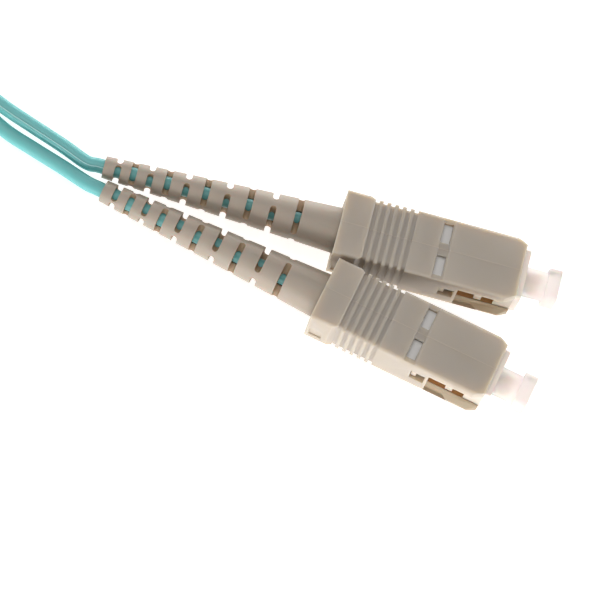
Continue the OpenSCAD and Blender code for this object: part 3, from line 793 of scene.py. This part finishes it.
def in_pocket_painted_shade(spot, normal):
    """Faces of the latch pockets in a plug frame's sides, but not of the studs in them; these get
    painted shade.
    """
    stud = 19.95 < spot.x < 21.05 and abs(spot.y) > 2.82 and abs(spot.z) < 2.06
    return 17.4 < spot.x < 22.7 and 2.7 < abs(spot.y) < 3.44 and abs(spot.z) < 2.4 and not stud


class PATCHCORD_OT_frames(bpy.types.Operator):
    """Round the plug frames' edges and print their white marks"""
    bl_idname = "patchcord.frames"
    bl_label = "Plug Frames"

    def execute(self, context):
        settings = context.scene.patch_cord.mouldings
        for name in PLUGS:
            core = softened("plug_frame_" + name, "frame_core_" + name, FRAME_EDGE,
                            finish_named("Frame Plastic"))
            # The frames' front ends are cut off and get painted light.
            cut_across(core, PLACE[name], HOUSING_FRONT * MM)
            # The latch pockets get painted shade with a warm painted glow.
            painted(core, PLACE[name], finish_named("Latch Pocket"), in_pocket_painted_shade)
            painted(core, PLACE[name], finish_named("Frame Nose"), on_nose)
            stand_in(core, "root", "beige_plastic", "plug_frame_" + name)
            for number, (side, sign) in enumerate(((1, 1), (-1, 1), (1, -1), (-1, -1)), 1):
                flip = Matrix.Rotation(0 if sign > 0 else math.pi, 4, "X")
                spot = Matrix.Translation((MARK_SPOT[0], side * MARK_SPOT[1], MARK_SPOT[2]))
                mark = rounded_plate("window_mark_%s%d" % (name, number),
                                     PLACE[name] @ flip @ spot, MARK_SIZE, MARK_CORNER,
                                     settings.mark_height, finish_named("White Window Mark"))
                stand_in(mark, "root", "beige_plastic")
        return {"FINISHED"}


def in_slot_painted_shade(spot, normal):
    """Faces that lie clearly under a boot's outer cone, its bore included, which get the slots'
    painted shade.
    """
    outer = (CONE_WIDTH - CONE_TAPER * (CONE_START - spot.x) / CONE_RUN) / 2
    return (BOOT_BACK + 0.1 < spot.x < 0
            and math.hypot(spot.y, spot.z) < outer - SLOT_SHADE_DEPTH)


class PATCHCORD_OT_boots(bpy.types.Operator):
    """Round the slotted boots' edges"""
    bl_idname = "patchcord.boots"
    bl_label = "Boots"

    def execute(self, context):
        for name in PLUGS:
            boot = softened("boot_" + name, "strain_boot_" + name, BOOT_EDGE,
                            finish_named("Beige Boot Rubber"))
            # Painted shade inside the boots' slots.
            painted(boot, PLACE[name], finish_named("Boot Slot"), in_slot_painted_shade)
            stand_in(boot, "root", "beige_boot", "boot_" + name)
        return {"FINISHED"}


class PATCHCORD_OT_caps(bpy.types.Operator):
    """Round the dust caps' edges"""
    bl_idname = "patchcord.caps"
    bl_label = "Dust Caps"

    def execute(self, context):
        for name in PLUGS:
            cap = softened("dust_cap_" + name, "soft_cap_" + name, CAP_EDGE,
                           finish_named("Milky Cap"), steps=3)
            stand_in(cap, "cap_" + name, "cap_plastic", "dust_cap_" + name)
        return {"FINISHED"}


def wire_tree():
    """Sweeps a round wire along a line."""
    tree, inp, out = new_tree("Spring Wire", "GeometryNodeTree", (
        ("Geometry", "NodeSocketGeometry", None), ("Wire Diameter", "NodeSocketFloat", 0.4 * MM),
        ("Sides", "NodeSocketInt", 12), ("Material", "NodeSocketMaterial", None)),
        (("Geometry", "NodeSocketGeometry"),))
    socket = inp.outputs
    line = add_node(tree, "GeometryNodeMeshToCurve", {"Mesh": socket["Geometry"]}).outputs[0]
    ring = add_node(tree, "GeometryNodeCurvePrimitiveCircle", {
        "Resolution": socket["Sides"],
        "Radius": maths(tree, "MULTIPLY", socket["Wire Diameter"], 0.5)}, mode="RADIUS").outputs[0]
    swept = add_node(tree, "GeometryNodeCurveToMesh", {
        "Curve": line, "Profile Curve": ring, "Fill Caps": True}).outputs[0]
    tree.links.new(realised(tree, swept, socket["Material"]), out.inputs[0])
    return tree


class PATCHCORD_OT_springs(bpy.types.Operator):
    """Wind the ferrules' springs"""
    bl_idname = "patchcord.springs"
    bl_label = "Springs"

    def execute(self, context):
        wire = context.scene.patch_cord.mouldings.wire
        tree = wire_tree()
        steps = SPRING_TURNS * SPRING_STEPS
        for name in PLUGS:
            points = [PLACE[name] @ (MM * Vector((
                SPRING_START + SPRING_RUN * i / steps,
                SPRING_R * math.cos(math.tau * SPRING_TURNS * i / steps),
                SPRING_R * math.sin(math.tau * SPRING_TURNS * i / steps))))
                for i in range(steps + 1)]
            spring = grown("wound_spring_" + name, points, tree,
                           {"Wire Diameter": wire, "Material": finish_named("Spring Steel")})
            stand_in(spring, "root", "steel_wire", "spring_" + name)
            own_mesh(spring)
        return {"FINISHED"}


# The jackets' ends inside the boots get painted shade.
INNER_FINISHES = {"ferrule": "White Zirconia", "ferrule_holder": "Nickel Plate",
                  "back_body": "Nickel Plate", "crimp_sleeve": "Nickel Plate",
                  "fibre": "Fibre Buffer", "jacket": "Aqua Jacket End"}


class PATCHCORD_OT_inner_parts(bpy.types.Operator):
    """Finish the ferrules and the pieces inside the plugs"""
    bl_idname = "patchcord.inner_parts"
    bl_label = "Inner Parts"

    def execute(self, context):
        for name in PLUGS:
            for part, finish in INNER_FINISHES.items():
                give_material(part + "_" + name, finish_named(finish))
        return {"FINISHED"}


# ---------------------------------------------------------------- stage

# The camera's sensor in millimetres, half the floor's width, and the floor's height.
SENSOR, FLOOR_REACH, FLOOR_LEVEL = 36, 3, -0.02 * MM

# The low lamps: their size, their height, and each one's place and share of the level.
STRIP_SIZE, STRIP_LEVEL = (1.2, 0.08), 0.05
STRIPS = (("Front Strip", (0, -0.7, STRIP_LEVEL), 1.0), ("Back Strip", (0, 0.7, STRIP_LEVEL), 1.0),
          ("Right Strip", (0.7, 0, STRIP_LEVEL), 1.0), ("Left Strip", (-0.8, 0, STRIP_LEVEL), 0.8))


def seen_plainly(tree):
    """1 on rays from the camera, off a shine or through the caps' plastic, and 0 on the rest."""
    path = add_node(tree, "ShaderNodeLightPath").outputs
    return maths(tree, "MAXIMUM", path["Is Camera Ray"],
                 maths(tree, "MAXIMUM", path["Is Glossy Ray"], path["Is Transmission Ray"]))


def stage_material(colour):
    """Pale floor that looks white to the camera and still takes the object's shadow."""
    material = bpy.data.materials.new("Pale Floor")
    material.use_nodes = True
    tree = material.node_tree
    tree.nodes.clear()
    diffuse = add_node(tree, "ShaderNodeBsdfDiffuse", {"Color": (*colour, 1.0)})
    glow = add_node(tree, "ShaderNodeEmission", {
        "Color": (1, 1, 1, 1), "Strength": maths(tree, "MULTIPLY", seen_plainly(tree), 0.6)})
    both = add_node(tree, "ShaderNodeAddShader", {0: diffuse.outputs[0], 1: glow.outputs[0]})
    add_node(tree, "ShaderNodeOutputMaterial", {"Surface": both.outputs[0]})
    return material


def stage_world(fill):
    """White to the camera, and an even fill as light."""
    world = bpy.data.worlds.new("Soft Studio")
    bpy.context.scene.world = world
    world.use_nodes = True
    tree = world.node_tree
    tree.nodes.clear()
    strength = add_node(tree, "ShaderNodeMix", {0: seen_plainly(tree), 2: fill, 3: 1.0},
                        data_type="FLOAT")
    glow = add_node(tree, "ShaderNodeBackground", {"Color": (1, 1, 1, 1),
                                                   "Strength": strength.outputs[0]})
    add_node(tree, "ShaderNodeOutputWorld", {"Surface": glow.outputs[0]})


def soft_lamp(name, spot, aim, size, level):
    """A rectangular lamp; at level 1 it alone shows a white face turned to it as white."""
    data = bpy.data.lights.new(name, "AREA")
    data.shape, data.size, data.size_y = "RECTANGLE", size[0], size[1]
    away = Vector(spot) - Vector(aim)
    data.energy = level * (math.pi * away.length) ** 2
    lamp = link(bpy.data.objects.new(name, data))
    turn = away.to_track_quat("Z", "Y").to_matrix().to_4x4()
    lamp.matrix_world = Matrix.Translation(spot) @ turn
    return lamp


class PATCHCORD_OT_stage(bpy.types.Operator):
    """Set the camera, the floor, the soft lamps and the plain white surroundings"""
    bl_idname = "patchcord.stage"
    bl_label = "Stage"

    def execute(self, context):
        settings = context.scene.patch_cord.stage
        back = Vector((math.cos(settings.elevation) * math.sin(settings.azimuth),
                       -math.cos(settings.elevation) * math.cos(settings.azimuth),
                       math.sin(settings.elevation)))
        right = Vector((math.cos(settings.azimuth), math.sin(settings.azimuth), 0))
        up = back.cross(right)
        turn_right = math.cos(settings.roll) * right + math.sin(settings.roll) * up
        turn_up = back.cross(turn_right)
        spot = Vector(settings.aim) + settings.distance * back
        data = bpy.data.cameras.new("Camera")
        data.sensor_fit, data.sensor_width = "HORIZONTAL", SENSOR
        data.lens = SENSOR * settings.distance / settings.view
        data.clip_start, data.clip_end = 0.01, 20
        camera = link(bpy.data.objects.new("Camera", data))
        camera.matrix_world = axes_matrix(turn_right, turn_up, back, spot)
        context.scene.camera = camera
        context.scene.view_settings.view_transform = "Standard"
        mesh = bpy.data.meshes.new("floor")
        mesh.from_pydata([(x * FLOOR_REACH, y * FLOOR_REACH, FLOOR_LEVEL) for x, y in (
            (-1, -1), (1, -1), (1, 1), (-1, 1))], [], [(0, 1, 2, 3)])
        floor = link(bpy.data.objects.new("floor", mesh))
        mesh.materials.append(stage_material(settings.floor))
        stage_world(settings.fill)
        for name, spot, share in STRIPS:
            soft_lamp(name, spot, (0, 0, 0), STRIP_SIZE, share * settings.rim)
        soft_lamp("Overhead", (-0.15, 0.1, 0.9), (0, 0, 0), (0.8, 0.8), settings.top)
        table = soft_lamp("Light Table", (0, 0, -0.01 * MM), (0, 0, 1), (1, 1), 1)
        table.data.energy = math.pi * settings.table
        table.visible_camera = table.visible_glossy = table.visible_transmission = False
        return {"FINISHED"}


# ---------------------------------------------------------------- panel and running

OPERATORS = (PATCHCORD_OT_stage, PATCHCORD_OT_cords, PATCHCORD_OT_housings, PATCHCORD_OT_frames,
             PATCHCORD_OT_boots, PATCHCORD_OT_caps, PATCHCORD_OT_springs,
             PATCHCORD_OT_inner_parts, PATCHCORD_OT_cord_facts)


class PATCHCORD_PT_panel(bpy.types.Panel):
    """Lists the patch cord's pieces and settings"""
    bl_idname = "PATCHCORD_PT_panel"
    bl_label = "Patch Cord"
    bl_space_type = "VIEW_3D"
    bl_region_type = "UI"
    bl_category = "Patch Cord"

    def draw(self, context):
        settings = context.scene.patch_cord
        for group in (settings.mouldings, settings.cords, settings.stage):
            box = self.layout.box()
            for name in group.bl_rna.properties.keys():
                if name not in ("rna_type", "name"):
                    box.prop(group, name)
        for operator in OPERATORS:
            self.layout.operator(operator.bl_idname)


CLASSES = (PatchCordMouldings, PatchCordCords, PatchCordStage, PatchCordSettings,
           PATCHCORD_PT_panel, *OPERATORS)


def register():
    for cls in CLASSES:
        bpy.utils.register_class(cls)
    bpy.types.Scene.patch_cord = PointerProperty(type=PatchCordSettings)


def unregister():
    del bpy.types.Scene.patch_cord
    for cls in reversed(CLASSES):
        bpy.utils.unregister_class(cls)


def main():
    register()
    for operator in OPERATORS:
        group, name = operator.bl_idname.split(".")
        getattr(getattr(bpy.ops, group), name)()


if __name__ == "__main__":
    main()
